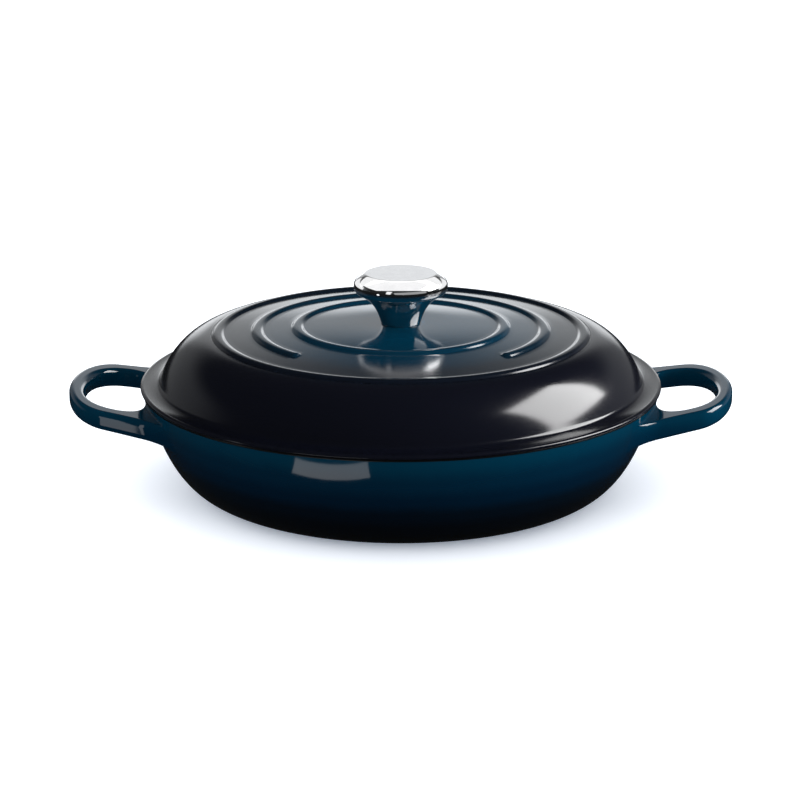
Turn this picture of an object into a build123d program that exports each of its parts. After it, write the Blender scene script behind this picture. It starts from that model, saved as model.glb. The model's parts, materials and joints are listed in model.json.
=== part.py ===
from build123d import *
from math import atan2, cos, degrees, radians, sin, sqrt, tan
import os

# Braiser: a wide, shallow, lidded pan of enamelled cast iron with two loop handles.
# Millimetres. The origin is the centre of the flat base, +Z is up, the handles lie on
# the X axis and the front faces -Y.

# Bowl of the pan
pan_height = 65.0
pan_rim_radius = 159.6
pan_base_radius = 109.5
pan_wall = 3.9
pan_floor = 4.3
wall_angle = 72.8        # steepness of the wall at the rim, from level
base_sweep = 29.3        # length of the curve's tangent at the base
rim_sweep = 34.9         # length of the curve's tangent at the rim
inner_sweep_loss = 0.6   # the inside's tangents are shorter by this much of the wall
rim_rounding = 1.2

# Loop handles, cast in one piece with the bowl
handle_length = 44.7     # from the rim of the pan to the outermost point
handle_bar_width = 14.4  # of the two bars, seen from above
handle_grip_width = 9.7  # of the outer stretch that the fingers hold
handle_bar_height = 11.4  # at the outermost point
handle_spread_angle = 43.623  # between the bars' outer sides at the rim, from the middle
handle_taper = 11.6      # each bar leans in by this many degrees
outer_bend_run = 25.0    # the bar bends into the grip this far before their lines would meet
outer_bend_sweep = 15.4  # tangent of the bend at the bar
outer_grip_sweep = 27.2  # tangent of the bend at the middle of the grip
gap_bend_run = 21.3      # the same three for the finger gap
gap_bend_sweep = 14.9
gap_grip_sweep = 21.8
handle_web = 24.6        # how far the bar's web reaches along the bowl, in the finger gap
handle_outer_web = 11.0  # the same on the outside, along the bowl and along the bar
handle_web_fullness = 0.46  # near this value the web's curve is close to an arc
handle_web_sink = 1.0    # how far the webs start inside the bowl's wall
handle_rise = 1.0        # top of the outermost point above the rim of the pan
handle_top_slope = 9.3   # degrees that the top face falls towards the bowl
handle_under_slope = 10.4
handle_edge_rounding = 3.7
handle_root_rounding = 2.0

# Lid
lid_radius = 160.3
lid_height = 37.9        # from the rim of the pan to the flat seat of the knob
lid_wall = 3.6
lid_middle_wall = 4.0
lid_inner_sweep_loss = 0.25  # the underside's tangents are shorter by this much of the wall
lid_seat_radius = 16.0   # of the flat middle that carries the knob
lid_middle_sweep = 15.0  # the domed middle's tangents
lid_crown_radius = 116.0  # where the gently sloping top turns into the shoulder
lid_crown_height = 31.9   # from the rim of the pan
lid_top_slope = 4.2       # degrees, between the inner and the outer ring
lid_shoulder_radius = 148.0
lid_shoulder_height = 5.4
shoulder_slope = 66.0
crown_sweep = 9.0
shoulder_sweep = 23.0
flange_hollow = 2.4       # width of the hollow where the shoulder meets the flange
flange_height = 3.2       # at that hollow, from the rim of the pan
flange_edge_height = 2.2
bead_width = 2.6          # raised bead round the edge of the flange
bead_height = 0.4
edge_bulge = 0.3          # the side of the edge is round, by this much
edge_rounding = 0.8       # where the edge meets the rim of the pan
lid_screw_hole = 7.0
ring_width = 8.0
ring_height = 1.7
ring_fullness = 0.55      # 0 gives a ridge, 1 a ring with a broad top
ring_sink = 0.15          # the open ring's feet lie this far under the lid's surface
inner_ring_radius = 63.3
middle_ring_radius = 88.0
outer_ring_radius = 112.2
middle_ring_gap = 92.0    # degrees left open at the front of the middle ring
locating_rim_depth = 6.0
locating_rim_width = 3.0
locating_rim_play = 1.2   # between the locating rim and the inside of the pan

# Knob and its fixings
knob_height = 31.6
knob_cap_height = 12.2
knob_foot_radius = 12.0
knob_neck_radius = 26.8
knob_widest_radius = 28.8
knob_widest_below_top = 7.3
knob_face_radius = 22.0
knob_sheet = 1.4
foot_angle = 74.0         # steepness of the stem where it leaves the lid
foot_sweep = 11.0
neck_angle = 30.0         # steepness of the stem where it meets the cap
neck_sweep = 10.0
cap_roll_angle = 25.0     # steepness of the cap's edge where it meets the stem
cap_roll_sweep = 2.0
cap_side_sweep = 3.3
cap_bevel_angle = 28.0    # steepness of the cap's bevel at its flat face
cap_bevel_sweep = 3.5
bush_radius = 8.0
bush_neck_radius = 5.5
bush_height = 15.0
thread_diameter = 6.0
thread_clearance = 0.05
fixing_clearance = 0.1
screw_reach_into_bush = 10.0
screw_head_radius = 5.8
screw_head_height = 3.4
screw_head_rounding = 1.4
screw_point = 0.6         # chamfer at the screw's end
screw_slot_width = 1.4
screw_slot_depth = 1.6
washer_radius = 9.0
washer_thickness = 1.2
lock_washer_radius = 5.4
lock_washer_thickness = 1.5
lock_washer_gap = 1.2
lock_washer_slant = 25.0

os.makedirs("parts", exist_ok=True)


def direction(angle):
    """Unit step (x, y) at an angle in degrees from the first axis."""
    return Vector(cos(radians(angle)), sin(radians(angle)))


def turned(*edges):
    """Solid turned about the upright axis from a closed outline of (radius, height) edges."""
    return revolve(Plane.XZ * make_face(Curve() + list(edges)), Axis.Z)


def swept_curve(start, start_angle, start_sweep, end, end_angle, end_sweep):
    """Smooth curve that leaves start and arrives at end along the given angles."""
    first = Vector(*start) + direction(start_angle) * start_sweep
    last = Vector(*end) - direction(end_angle) * end_sweep
    return Bezier(start, first, last, end)


def polyline(*points):
    return [Line(a, b) for a, b in zip(points, points[1:])]


# Pan

handle_reach = pan_rim_radius + handle_length
handle_spread = 2 * pan_rim_radius * sin(radians(handle_spread_angle / 2))


def bowl_curve(inset, floor_height):
    """Curve of the bowl's side from the base to the rim, inset from the outer surface."""
    rim = pan_rim_radius - inset / sin(radians(wall_angle))
    loss = inset * inner_sweep_loss
    return swept_curve((pan_base_radius, floor_height), 0, base_sweep - loss,
                       (rim, pan_height), wall_angle, rim_sweep - loss)


def bowl_space(inset, floor_height):
    """Solid that fills the bowl's curve from its floor to the rim."""
    curve = bowl_curve(inset, floor_height)
    return turned(Line((0, floor_height), curve @ 0), curve,
                  *polyline(curve @ 1, (0, pan_height), (0, floor_height)))


def wall_radius(height):
    """Outer radius of the bowl at a height."""
    level = Line((0, height), (pan_rim_radius, height))
    return bowl_curve(0, 0).intersect(level)[0].X


def bar_line(half):
    """Point at a distance along the line of a bar's side, which is half from the middle."""
    along, across = direction(-handle_taper), direction(90 - handle_taper)
    apart = Vector(pan_rim_radius, half).dot(across)
    return lambda distance: along * distance + across * apart


def loop_side(half, tip, bend, radius, web, bar_web):
    """One side of the handle's loop seen from above, from the bowl's wall to the middle of the
    grip: a web that starts along the wall, web away from the corner, a straight bar and a
    bend of three sizes. A positive web lies outside the bar, a negative one in the gap."""
    bend_run, bend_sweep, grip_sweep = bend
    side = bar_line(half)
    apart = side(0).length
    corner = side(sqrt(radius ** 2 - apart ** 2))
    last = (tip - side(0).X) / cos(radians(handle_taper))
    first = last - bend_run
    turn = degrees(atan2(corner.Y, corner.X) + web / radius)
    root = direction(turn) * radius
    heading = turn - 90 if web > 0 else turn + 90
    reach = (side(first) - corner).length if bar_web is None else bar_web
    joint = corner + direction(-handle_taper) * reach
    curves = [swept_curve(root, heading, abs(web) * handle_web_fullness,
                          joint, -handle_taper, reach * handle_web_fullness),
              swept_curve(side(first), -handle_taper, bend_sweep, (tip, 0), -90, grip_sweep)]
    if bar_web is not None:
        curves.insert(1, Line(joint, side(first)))
    return curves, root


def loop_face(height, curves, bowl_side):
    mirrored = [mirror(curve, Plane.XZ) for curve in curves]
    return Pos(0, 0, height) * make_face(Curve() + [bowl_side, *curves, *mirrored])


def band_section(radius, height):
    """Outer outline of the handle, closed by a straight line inside the bowl."""
    bend = outer_bend_run, outer_bend_sweep, outer_grip_sweep
    curves, root = loop_side(handle_spread / 2, handle_reach, bend, radius,
                             handle_outer_web, handle_outer_web)
    return loop_face(height, curves, Line((root.X, -root.Y), root))


def gap_section(radius, height):
    """Outline of the finger gap, closed by the bowl's wall."""
    half = handle_spread / 2 - handle_bar_width / cos(radians(handle_taper))
    bend = gap_bend_run, gap_bend_sweep, gap_grip_sweep
    curves, root = loop_side(half, handle_reach - handle_grip_width, bend, radius,
                             -handle_web, None)
    return loop_face(height, curves, ThreePointArc((root.X, -root.Y), (radius, 0), root))


def handle():
    tip_top = pan_height + handle_rise
    tip_under = tip_top - handle_bar_height
    outer = handle_reach + handle_bar_width

    def level(radius, tip_level, slope):
        return radius, tip_level - (handle_reach - radius) * tan(radians(slope))

    lowest = level(pan_base_radius, tip_under, handle_under_slope)
    side = Polyline(level(outer, tip_under, handle_under_slope),
                    level(outer, tip_top, handle_top_slope),
                    level(pan_base_radius, tip_top, handle_top_slope), lowest, close=True)
    slab = extrude(Plane.XZ * make_face(side), handle_spread, both=True)
    low = wall_radius(lowest[1]) - handle_web_sink, lowest[1]
    high = pan_rim_radius - handle_web_sink, tip_top + handle_bar_height
    band = loft([band_section(*low), band_section(*high)], ruled=True)
    gap = loft([gap_section(*low), gap_section(*high)], ruled=True)
    loop = (band & slab) - gap
    rounded = [e for f in loop.faces() if abs(f.normal_at().Z) > 0.9 for e in f.edges()
               if (e @ 0.5).X > pan_base_radius + handle_edge_rounding]
    return fillet(ShapeList(rounded), handle_edge_rounding)


def make_pan():
    right = handle()
    body = bowl_space(0, 0) + right + mirror(right, Plane.YZ)
    wall = max((f for f in body.faces() if f.geom_type == GeomType.REVOLUTION),
               key=lambda f: f.area)
    roots = [e for e in wall.edges()
             if e.geom_type == GeomType.BSPLINE and abs((e @ 0.5).X) > pan_base_radius]
    body = fillet(roots, handle_root_rounding) - bowl_space(pan_wall, pan_floor)
    rim = [e for e in body.edges().filter_by(GeomType.CIRCLE)
           if abs((e @ 0).Z - pan_height) < 0.001]
    return fillet(rim, rim_rounding)


# Lid, seated on the rim of the pan

seat = pan_height
middle_top = seat + lid_height
crown = (lid_crown_radius, seat + lid_crown_height)
shoulder = (lid_shoulder_radius, seat + lid_shoulder_height)
ring_foot = ring_width / 2


def top_height(radius):
    """Height of the sloping top of the lid between its rings."""
    return crown[1] + (lid_crown_radius - radius) * tan(radians(lid_top_slope))


def ring_section(radius):
    """Raised bead across the lid's top: two feet along the slope and a round crest."""
    along, up = direction(-lid_top_slope), direction(90 - lid_top_slope)
    middle = Vector(radius, top_height(radius))
    first = middle - along * ring_foot
    last = middle + along * ring_foot
    crest = middle + up * ring_height
    lead = along * (ring_foot * ring_fullness)
    return [Bezier(first, first + lead, crest - lead, crest),
            Bezier(crest, crest + lead, last - lead, last)], first, last


def make_lid():
    seat_edge = (lid_seat_radius, middle_top)
    inner_ring, inner_ring_start, inner_ring_end = ring_section(inner_ring_radius)
    outer_ring, outer_ring_start, outer_ring_end = ring_section(outer_ring_radius)
    hollow_end = (lid_shoulder_radius + flange_hollow, seat + flange_height)
    bead_start = (lid_radius - bead_width, seat + flange_edge_height)
    bead_top = (lid_radius - bead_width / 2, bead_start[1] + bead_height)
    bead_side = (lid_radius - edge_bulge, bead_start[1])
    edge_side = (lid_radius, seat + flange_edge_height / 2)
    edge_under = (lid_radius - edge_rounding, seat)
    flange_slope = degrees(atan2(hollow_end[1] - bead_start[1], bead_start[0] - hollow_end[0]))
    top = [Line((lid_screw_hole / 2, middle_top), seat_edge),
           swept_curve(seat_edge, 0, lid_middle_sweep,
                       inner_ring_start, -lid_top_slope, lid_middle_sweep), *inner_ring,
           Line(inner_ring_end, outer_ring_start), *outer_ring,
           Line(outer_ring_end, crown),
           swept_curve(crown, -lid_top_slope, crown_sweep,
                       shoulder, -shoulder_slope, shoulder_sweep),
           swept_curve(shoulder, -shoulder_slope, flange_hollow / 2,
                       hollow_end, -flange_slope, flange_hollow / 2),
           Line(hollow_end, bead_start),
           ThreePointArc(bead_start, bead_top, bead_side),
           ThreePointArc(bead_side, edge_side, edge_under)]

    lean = 1 / tan(radians(wall_angle))
    rim_inner = pan_rim_radius - pan_wall / sin(radians(wall_angle))
    locate_top = rim_inner - locating_rim_play
    locate_bottom = locate_top - locating_rim_depth * lean
    locate_inner = locate_bottom - locating_rim_width
    inner_side = lid_shoulder_radius - lid_wall / sin(radians(shoulder_slope))
    inner_crown = (lid_crown_radius, crown[1] - lid_wall)
    under_middle = middle_top - lid_middle_wall
    loss = lid_wall * lid_inner_sweep_loss
    under = [Line(edge_under, (locate_top, seat)),
             *polyline((locate_top, seat), (locate_bottom, seat - locating_rim_depth),
                       (locate_inner, seat - locating_rim_depth),
                       (inner_side, shoulder[1])),
             swept_curve((inner_side, shoulder[1]), 180 - shoulder_slope, shoulder_sweep - loss,
                         inner_crown, 180 - lid_top_slope, crown_sweep - loss),
             swept_curve(inner_crown, 180 - lid_top_slope, lid_middle_sweep,
                         (lid_seat_radius, under_middle), 180, lid_middle_sweep),
             *polyline((lid_seat_radius, under_middle), (lid_screw_hole / 2, under_middle),
                       (lid_screw_hole / 2, middle_top))]
    return turned(*top, *under) + middle_ring()


def middle_ring():
    """Raised ring that stops on both sides of the front, with rounded ends."""
    curve, first, last = ring_section(middle_ring_radius)
    up = direction(90 - lid_top_slope)
    shift = up * -ring_sink
    face = Plane.XZ * (Pos(shift) * make_face(
        Curve() + [*curve, Line(last, last - up), Line(last - up, first - up),
                   Line(first - up, first)]))
    start = middle_ring_gap / 2 - 90
    ring = revolve(Rot(0, 0, start) * face, Axis.Z, 360 - middle_ring_gap)
    foot = Vector(middle_ring_radius, top_height(middle_ring_radius)) + shift - up
    crest = foot + up * (1 + ring_height)
    half = Plane.XZ * make_face(Curve() + [
        curve[1].moved(Location(shift)), Line(last + shift, last + shift - up),
        Line(last + shift - up, foot), Line(foot, crest)])
    axis = Axis(Vector(foot.X, 0, foot.Y), Vector(up.X, 0, up.Y))
    end = revolve(half, axis)
    return ring + Rot(0, 0, start) * end + Rot(0, 0, start - middle_ring_gap) * end


# Knob: a hollow trumpet with a pressed cap, held by a screw from under the lid

foot = middle_top
neck_height = foot + knob_height - knob_cap_height
knob_top = foot + knob_height
hole_radius = thread_diameter / 2 + fixing_clearance


def neck_inside():
    """Inner radius of the seam between the stem and the cap."""
    return knob_neck_radius - knob_sheet / sin(radians(neck_angle))


def make_knob_stem():
    inner_foot = knob_foot_radius - knob_sheet / sin(radians(foot_angle))
    floor = foot + knob_sheet
    outside = swept_curve((knob_foot_radius, foot), foot_angle, foot_sweep,
                          (knob_neck_radius, neck_height), neck_angle, neck_sweep)
    inside = swept_curve((inner_foot, floor), foot_angle, foot_sweep - knob_sheet,
                         (neck_inside(), neck_height), neck_angle, neck_sweep - knob_sheet)
    bush_hole = bush_neck_radius + fixing_clearance
    return turned(Line((bush_hole, foot), (knob_foot_radius, foot)), outside,
                  Line((knob_neck_radius, neck_height), (neck_inside(), neck_height)), inside,
                  *polyline((inner_foot, floor), (bush_hole, floor), (bush_hole, foot)))


def make_knob_cap():
    widest = knob_top - knob_widest_below_top

    def skin(inset):
        """The cap's section from the seam, round its edge and up the bevel."""
        seam = (knob_neck_radius - inset, neck_height + inset)
        side = (knob_widest_radius - inset, widest)
        face = (knob_face_radius - inset / 2, knob_top - inset)
        return [swept_curve(seam, cap_roll_angle, cap_roll_sweep, side, 90, cap_roll_sweep),
                swept_curve(side, 90, cap_side_sweep,
                            face, 180 - cap_bevel_angle, cap_bevel_sweep)]

    inner_face = (knob_face_radius - knob_sheet / 2, knob_top - knob_sheet)
    inner_seam = (knob_neck_radius - knob_sheet, neck_height + knob_sheet)
    return turned(Line((neck_inside(), neck_height), (knob_neck_radius, neck_height)), *skin(0),
                  *polyline((knob_face_radius, knob_top), (0, knob_top),
                            (0, knob_top - knob_sheet), inner_face),
                  *skin(knob_sheet),
                  *polyline(inner_seam, (neck_inside(), inner_seam[1]),
                            (neck_inside(), neck_height)))


def make_knob_bush():
    bore = thread_diameter / 2 + thread_clearance
    floor = foot + knob_sheet
    top = foot + bush_height
    return turned(*polyline((bore, foot), (bush_neck_radius, foot), (bush_neck_radius, floor),
                            (bush_radius, floor), (bush_radius, top), (bore, top),
                            (bore, foot)))


under_lid = middle_top - lid_middle_wall
under_washer = under_lid - washer_thickness
under_lock_washer = under_washer - lock_washer_thickness


def make_knob_screw():
    shank = Pos(0, 0, under_lock_washer) * Cylinder(
        thread_diameter / 2, foot + screw_reach_into_bush - under_lock_washer,
        align=(Align.CENTER, Align.CENTER, Align.MIN))
    shank = chamfer(shank.edges().sort_by(Axis.Z)[-1], screw_point)
    head = Pos(0, 0, under_lock_washer) * Cylinder(
        screw_head_radius, screw_head_height, align=(Align.CENTER, Align.CENTER, Align.MAX))
    head = fillet(head.edges().sort_by(Axis.Z)[0], screw_head_rounding)
    slot = Pos(0, 0, under_lock_washer - screw_head_height) * Box(
        2 * screw_head_radius, screw_slot_width, screw_slot_depth,
        align=(Align.CENTER, Align.CENTER, Align.MIN))
    return shank + head - slot


def make_washer(outer_radius, thickness, top):
    return turned(*polyline((hole_radius, top), (outer_radius, top),
                            (outer_radius, top - thickness), (hole_radius, top - thickness),
                            (hole_radius, top)))


def make_lock_washer():
    ring = make_washer(lock_washer_radius, lock_washer_thickness, under_washer)
    slit = Pos(lock_washer_radius, 0, under_washer) * Rot(lock_washer_slant, 0, 0) * Box(
        2 * lock_washer_radius, lock_washer_gap, 4 * lock_washer_thickness)
    return ring - slit


pieces = {
    "pan": make_pan(),
    "lid": make_lid(),
    "knob_stem": make_knob_stem(),
    "knob_cap": make_knob_cap(),
    "knob_bush": make_knob_bush(),
    "knob_screw": make_knob_screw(),
    "knob_washer": make_washer(washer_radius, washer_thickness, under_lid),
    "knob_lock_washer": make_lock_washer(),
}

for name, piece in pieces.items():
    export_step(piece, f"parts/{name}.step")
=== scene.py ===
import json
import bpy
import numpy as np
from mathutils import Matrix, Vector

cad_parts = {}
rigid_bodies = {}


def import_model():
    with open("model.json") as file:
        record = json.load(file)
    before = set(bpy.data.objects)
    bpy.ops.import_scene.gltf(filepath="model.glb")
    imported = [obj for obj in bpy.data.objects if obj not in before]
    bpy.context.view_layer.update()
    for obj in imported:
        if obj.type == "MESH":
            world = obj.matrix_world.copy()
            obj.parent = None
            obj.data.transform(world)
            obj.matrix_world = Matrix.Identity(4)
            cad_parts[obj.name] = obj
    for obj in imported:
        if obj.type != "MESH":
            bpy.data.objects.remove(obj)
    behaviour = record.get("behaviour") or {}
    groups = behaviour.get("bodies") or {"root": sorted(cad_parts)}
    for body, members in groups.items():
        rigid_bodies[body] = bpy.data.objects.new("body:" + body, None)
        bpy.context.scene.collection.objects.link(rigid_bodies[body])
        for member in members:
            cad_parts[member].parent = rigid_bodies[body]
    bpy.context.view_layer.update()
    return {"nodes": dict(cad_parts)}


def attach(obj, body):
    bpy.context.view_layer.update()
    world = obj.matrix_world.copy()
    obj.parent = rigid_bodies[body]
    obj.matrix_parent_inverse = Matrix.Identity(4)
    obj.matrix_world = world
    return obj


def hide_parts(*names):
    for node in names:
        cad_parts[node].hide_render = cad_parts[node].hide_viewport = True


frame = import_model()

# Lidded braiser of enamelled cast iron. Shapes are worked out in millimetres, in the frame of
# the CAD, and become metres when a mesh is made: +Z up, handles along X, front towards -Y.
mm = 0.001


def stepAt(angle):
    # unit step at an angle in degrees: its cosine and its sine
    return np.array([np.cos(np.radians(angle)), np.sin(np.radians(angle))])


def sweptCurve(start, startAngle, startSweep, end, endAngle, endSweep, count):
    # cubic curve: start, end and a point on the tangent of each, weighted by (1-t)^3,
    # 3(1-t)^2 t, 3(1-t) t^2 and t^3
    t = np.linspace(0, 1, count)[:, None]
    first = np.array(start) + stepAt(startAngle) * startSweep
    last = np.array(end) - stepAt(endAngle) * endSweep
    return ((1 - t) ** 3 * np.array(start) + 3 * (1 - t) ** 2 * t * first
            + 3 * (1 - t) * t ** 2 * last + t ** 3 * np.array(end))


def roundedLine(corners, count=6):
    # straight runs through (x, y, rounding) corners. Each corner is a quadratic curve that
    # starts and ends the rounding's length away: corner + back (1-t)^2 + ahead t^2. One more
    # point just before and after keeps smooth shading inside the corner.
    corners = np.array(corners, dtype=float)
    points, reach = corners[:, :2], corners[:, 2]
    guard = 1.3     # how far away the points just before and after lie, in roundings
    t = np.linspace(0, 1, count)[:, None]
    run = []
    for i, point in enumerate(points):
        if reach[i] == 0:
            run.append(point[None])
            continue
        back = points[i - 1] - point
        ahead = points[(i + 1) % len(points)] - point
        back *= reach[i] / np.linalg.norm(back)
        ahead *= reach[i] / np.linalg.norm(ahead)
        curve = point + (1 - t) ** 2 * back + t ** 2 * ahead
        run.append(np.vstack([point + guard * back, curve, point + guard * ahead]))
    return np.vstack(run)


def chain(*parts):
    # one line from many: the parts end to end, without doubled points
    line = np.vstack(parts)
    least = 1e-4    # mm, points closer than this are one
    keep = np.append(True, np.linalg.norm(np.diff(line, axis=0), axis=1) > least)
    return line[keep]


def levelLine(start, end, height, count):
    # points of a profile's level run
    return np.stack([np.linspace(start, end, count), np.full(count, height)], axis=-1)


def turned(profile, angles):
    # rings of a turned shape: x = radius cos(angle), y = radius sin(angle), z = height
    radius, height = profile[:, 0, None], profile[:, 1, None]
    return np.stack([radius * np.cos(angles), radius * np.sin(angles),
                     height + 0 * angles], axis=-1)


def fullTurn(count):
    return np.arange(count) * 2 * np.pi / count


def ringMesh(name, rings, wrap):
    # rows of closed rings joined by four-sided faces. Where the rows don't wrap round, a fan
    # from the middle of each end ring closes it. Faces point outwards: the enclosed volume,
    # summed over the faces, is made positive.
    rows, columns = rings.shape[:2]
    index = np.arange(rows * columns).reshape(rows, columns)
    lower = index if wrap else index[:-1]
    upper = np.roll(index, -1, axis=0) if wrap else index[1:]
    quads = np.stack([lower, np.roll(lower, -1, axis=1), np.roll(upper, -1, axis=1), upper],
                     axis=-1).reshape(-1, 4)
    points = rings.reshape(-1, 3)
    fans = np.empty((0, 3), dtype=int)
    if not wrap:
        points = np.vstack([points, rings[[0, -1]].mean(axis=1)])
        first, last = index[0], index[-1]
        fans = np.vstack([
            np.stack([np.roll(first, -1), first, np.full(columns, rows * columns)], axis=-1),
            np.stack([last, np.roll(last, -1), np.full(columns, rows * columns + 1)], axis=-1)])
    triangles = np.vstack([quads[:, :3], quads[:, [0, 2, 3]], fans])
    a, b, c = (points[triangles[:, i]] for i in range(3))
    if np.einsum("ij,ij->i", a, np.cross(b, c)).sum() < 0:
        quads, fans = quads[:, ::-1], fans[:, ::-1]
    mesh = bpy.data.meshes.new(name)
    mesh.from_pydata((points * mm).tolist(), [], quads.tolist() + fans.tolist())
    mesh.shade_smooth()
    piece = bpy.data.objects.new(name, mesh)
    bpy.context.scene.collection.objects.link(piece)
    return piece


def finishPiece(piece, body, nodes, slot, *finishes):
    # the piece rides on its body, stands for its CAD nodes and gets its finishes
    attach(piece, body)
    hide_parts(*nodes)
    for finish in finishes:
        piece.data.materials.append(finish)
    print("made", piece.name, len(piece.data.polygons), "faces")


def linear(colour):
    # sRGB hex text to linear: c/12.92 below 0.04045, else ((c + 0.055) / 1.055) ^ 2.4
    value = np.array([int(colour[i:i + 2], 16) for i in (1, 3, 5)]) / 255
    value = np.where(value <= 0.04045, value / 12.92, ((value + 0.055) / 1.055) ** 2.4)
    return (*value.tolist(), 1.0)


def addNode(tree, kind, settings=None, links=None):
    # one node: plain settings by attribute, sockets by name or number, and links into it
    node = tree.nodes.new("ShaderNode" + kind)
    for key, value in (settings or {}).items():
        if isinstance(key, str) and hasattr(node, key):
            setattr(node, key, value)
        else:
            node.inputs[key].default_value = value
    for key, source in (links or {}).items():
        tree.links.new(source, node.inputs[key])
    return node


def newMaterial(name):
    material = bpy.data.materials.new(name)
    material.use_nodes = True
    material.node_tree.nodes.clear()
    return material, material.node_tree


def endMaterial(material, shader):
    tree = material.node_tree
    output = addNode(tree, "OutputMaterial")
    tree.links.new(shader.outputs[0], output.inputs["Surface"])
    return material


def colourRamp(tree, factor, stops):
    # colours along a factor, eased between the stops
    ramp = addNode(tree, "ValToRGB", links={"Fac": factor})
    band = ramp.color_ramp
    band.interpolation = "EASE"
    stops = list(stops)
    while len(band.elements) < len(stops):
        band.elements.new(0.5)
    for element, (place, colour) in zip(band.elements, stops):
        element.position = place
        element.color = linear(colour)
    return ramp.outputs["Color"]


def fraction(tree, value, low, high):
    # low to high becomes 0 to 1, held inside them
    return addNode(tree, "MapRange", {"From Min": low, "From Max": high},
                   {"Value": value}).outputs["Result"]


def between(tree, factor, low, high):
    # 0 to 1 becomes low to high
    return addNode(tree, "MapRange", {"To Min": low, "To Max": high},
                   {"Value": factor}).outputs["Result"]


def combine(tree, operation, *values, clamp=False):
    # arithmetic on sockets and plain numbers
    settings = {"operation": operation, "use_clamp": clamp}
    links = {}
    for i, value in enumerate(values):
        if isinstance(value, bpy.types.NodeSocket):
            links[i] = value
        else:
            settings[i] = value
    return addNode(tree, "Math", settings, links).outputs[0]


def fromAxis(tree, place):
    # distance from the upright axis through the middle, and height
    split = addNode(tree, "SeparateXYZ", links={0: place})
    flat = addNode(tree, "CombineXYZ", links={"X": split.outputs["X"], "Y": split.outputs["Y"]})
    length = addNode(tree, "VectorMath", {"operation": "LENGTH"}, {0: flat.outputs[0]})
    return length.outputs["Value"], split.outputs["Z"]


def noise(tree, place, size, detail, amount=0.5):
    # noise whose blots are about size millimetres across
    return addNode(tree, "TexNoise", {"Scale": 1 / (size * mm), "Detail": detail,
                                      "Roughness": amount}, {"Vector": place}).outputs["Fac"]


enamelLook = {
    "panStops": [(0.0, "#000102"), (0.2, "#02050A"), (0.38, "#020B15"), (0.55, "#001628"),
                 (0.75, "#002034"), (1.0, "#002F44")],
    "panHeight": (4, 62),       # the colour turns from black to teal between these heights, mm
    "lidStops": [(0.0, "#003850"), (0.42, "#062E42"), (0.62, "#0C1A26"), (0.8, "#0D0F19"),
                 (1.0, "#0C0E18")],
    "lidRadius": (20, 150),     # from teal in the middle to black outside, mm
    "cloud": 14,                # blots in the fired colour, mm
    "drift": 0.06,              # how far they shift the place along the colours, in all
    "patch": 5,                 # duller and glossier patches, mm
    "ripple": 7,                # waviness of the fused glass, mm
    "rippleHeight": 0.006,      # mm
    "grain": 0.9,               # fine orange peel, mm
    "grainHeight": 0.0012,      # mm
    "roughness": (0.05, 0.09),
    "lidRoughness": (0.07, 0.10),
    "lidRougher": 0.07,         # rougher by this at the lid's edge than in its middle
    "glassIndex": 1.5,
    # the plain enamels: speckle and patches in mm, the stops of the two colours, and how
    # much stronger their waves and orange peel are
    "speckle": 3, "plainPatch": 4, "plainStops": (0.3, 0.7), "plainBump": 1.5,
}


def enamelBump(tree, place, strength=1.0):
    # the fused glass has long shallow waves and a fine orange peel
    look = enamelLook
    waves = noise(tree, place, look["ripple"], 1.0)
    grain = noise(tree, place, look["grain"], 2.0)
    first = addNode(tree, "Bump", {"Strength": strength, "Distance": look["rippleHeight"] * mm},
                    {"Height": waves})
    second = addNode(tree, "Bump", {"Strength": strength, "Distance": look["grainHeight"] * mm},
                     {"Height": grain, "Normal": first.outputs["Normal"]})
    return second.outputs["Normal"]


def vitreousEnamel(name, factor, stops, roughness, rougher):
    # vitreous enamel: coloured glass fused to the iron in a kiln. The eye gets a deep colour
    # under a glassy skin, with sharp reflections that waver a little.
    material, tree = newMaterial(name)
    place = addNode(tree, "TexCoord").outputs["Object"]
    look = enamelLook
    spot = noise(tree, place, look["cloud"], 3.0)
    drift = combine(tree, "MULTIPLY_ADD", spot, look["drift"], -look["drift"] / 2)
    along = factor(tree, place)
    base = colourRamp(tree, combine(tree, "ADD", along, drift, clamp=True), stops)
    rough = between(tree, noise(tree, place, look["patch"], 3.0), *roughness)
    rough = combine(tree, "MULTIPLY_ADD", along, rougher, rough)
    shader = addNode(tree, "BsdfPrincipled", {"IOR": look["glassIndex"]},
                     {"Base Color": base, "Roughness": rough,
                      "Normal": enamelBump(tree, place)})
    return endMaterial(material, shader)


def byHeight(tree, place):
    # the pan's place along its colours
    height = fromAxis(tree, place)[1]
    low, high = enamelLook["panHeight"]
    return fraction(tree, height, low * mm, high * mm)


def byRadius(tree, place):
    # the lid's place along its colours
    radius = fromAxis(tree, place)[0]
    low, high = enamelLook["lidRadius"]
    return fraction(tree, radius, low * mm, high * mm)


def plainEnamel(name, colour, darker, roughness):
    # enamel of one colour: the eye gets a soft, slightly speckled glaze
    material, tree = newMaterial(name)
    place = addNode(tree, "TexCoord").outputs["Object"]
    look = enamelLook
    speckle = noise(tree, place, look["speckle"], 4.0, 0.65)
    base = colourRamp(tree, speckle, zip(look["plainStops"], (darker, colour)))
    rough = between(tree, noise(tree, place, look["plainPatch"], 3.0), *roughness)
    shader = addNode(tree, "BsdfPrincipled", {"IOR": look["glassIndex"]},
                     {"Base Color": base, "Roughness": rough,
                      "Normal": enamelBump(tree, place, look["plainBump"])})
    return endMaterial(material, shader)


steelLook = {
    "smear": 6,                 # cloudy patches in the shine, mm
    "stops": (0.3, 0.7),        # of the darker and the lighter colour
    "grooveHeight": 0.0004,     # of the polishing lines, mm
    "grooveStrength": 0.5,
}


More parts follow.
